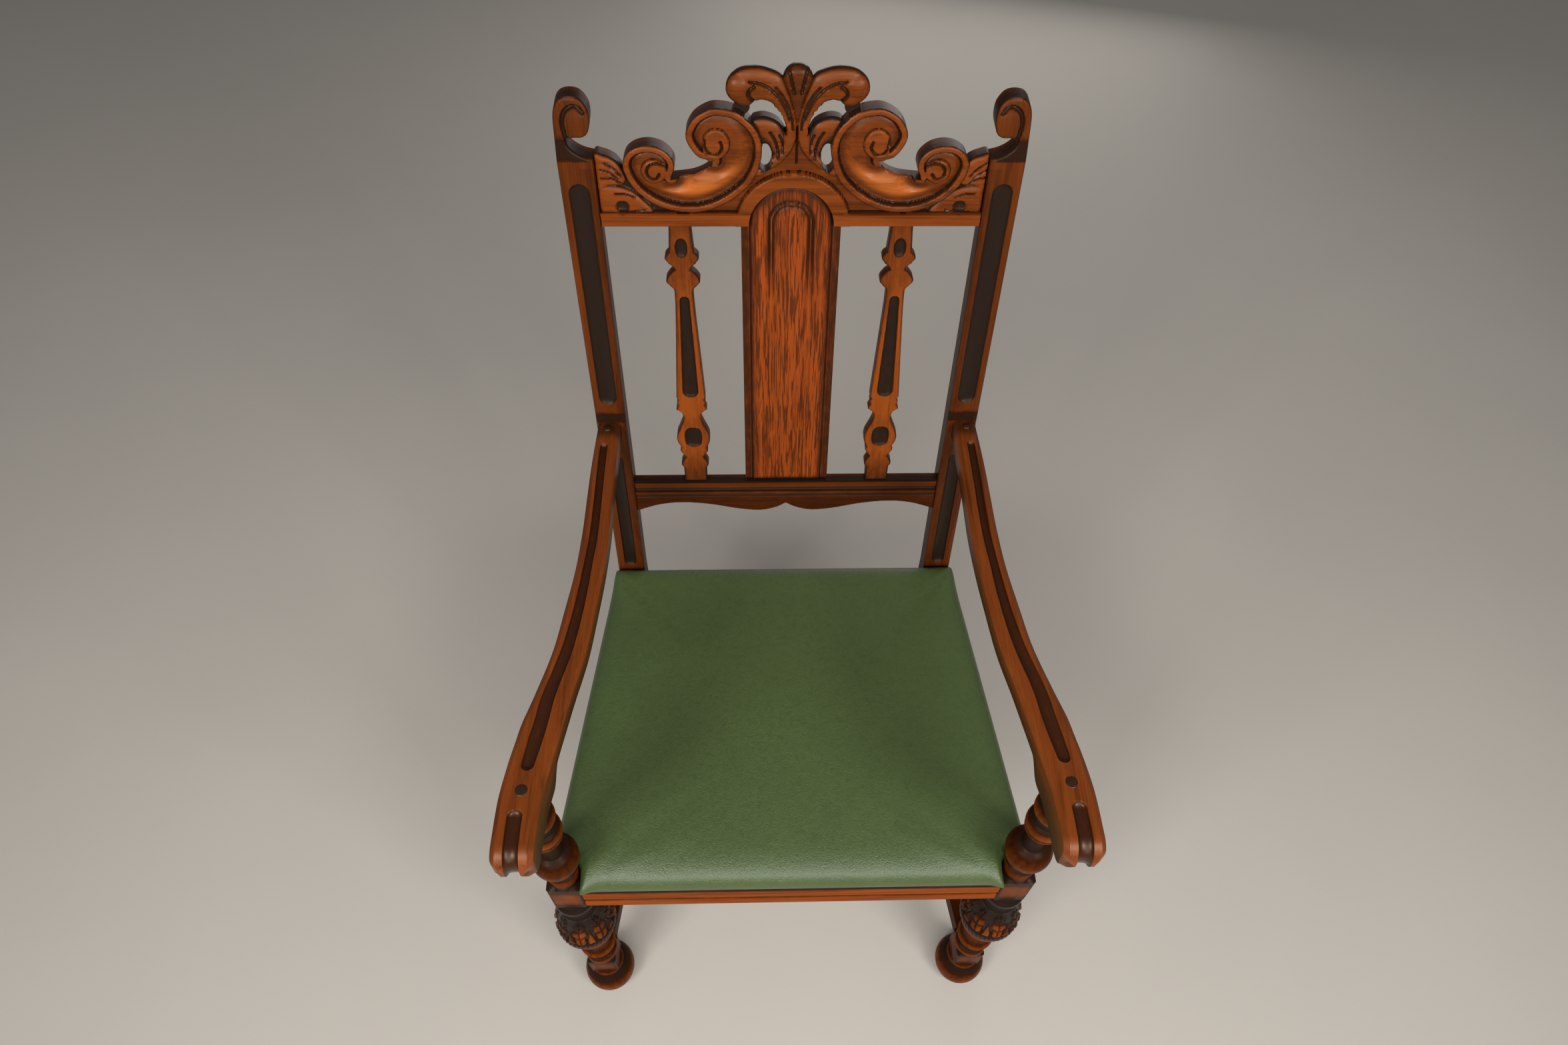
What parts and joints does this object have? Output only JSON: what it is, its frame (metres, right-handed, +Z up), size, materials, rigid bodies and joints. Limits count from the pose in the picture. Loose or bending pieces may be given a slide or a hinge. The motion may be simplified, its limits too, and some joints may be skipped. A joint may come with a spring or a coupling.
{
  "type": "carved armchair",
  "caption": "Carved wooden armchair with turned front legs, a raked pierced back with a splat and balusters, curved grooved arms and an upholstered seat.",
  "frame": {"origin": "on the floor, at the middle of the chair's outline seen from above", "axes": "+Z up; the chair faces -Y; +X is the right-hand side as seen from the front"},
  "size_m": [0.6209, 0.6146, 1.1916],
  "materials": {
    "walnut": "polished, darker in the carving",
    "oak": "polished, open grain",
    "beech": "bare, planed",
    "plywood": "bare",
    "foam": "matt",
    "vinyl": "satin, fine grain",
    "steel": "plain"
  },
  "bodies": {
    "root": {"arm_front_plugs": "walnut", "arm_front_screws": "steel", "arm_rear_dowels": "beech", "arm_rear_pegs": "walnut", "back_splat": "oak", "corner_block_screws": "steel", "crest_rail": "walnut", "cross_stretcher": "walnut", "front_seat_rail": "walnut", "left_arm": "walnut", "left_back_baluster": "walnut", "left_front_corner_block": "beech", "left_front_leg": "walnut", "left_rear_corner_block": "beech", "left_rear_post": "walnut", "left_seat_rail": "walnut", "left_side_stretcher": "walnut", "lower_back_rail": "walnut", "rear_seat_rail": "walnut", "right_arm": "walnut", "right_back_baluster": "walnut", "right_front_corner_block": "beech", "right_front_leg": "walnut", "right_rear_corner_block": "beech", "right_rear_post": "walnut", "right_seat_rail": "walnut", "right_side_stretcher": "walnut", "seat_board": "plywood", "seat_cover": "vinyl", "seat_foam": "foam", "seat_screws": "steel", "seat_staples": "steel"}
  },
  "joints": []
}
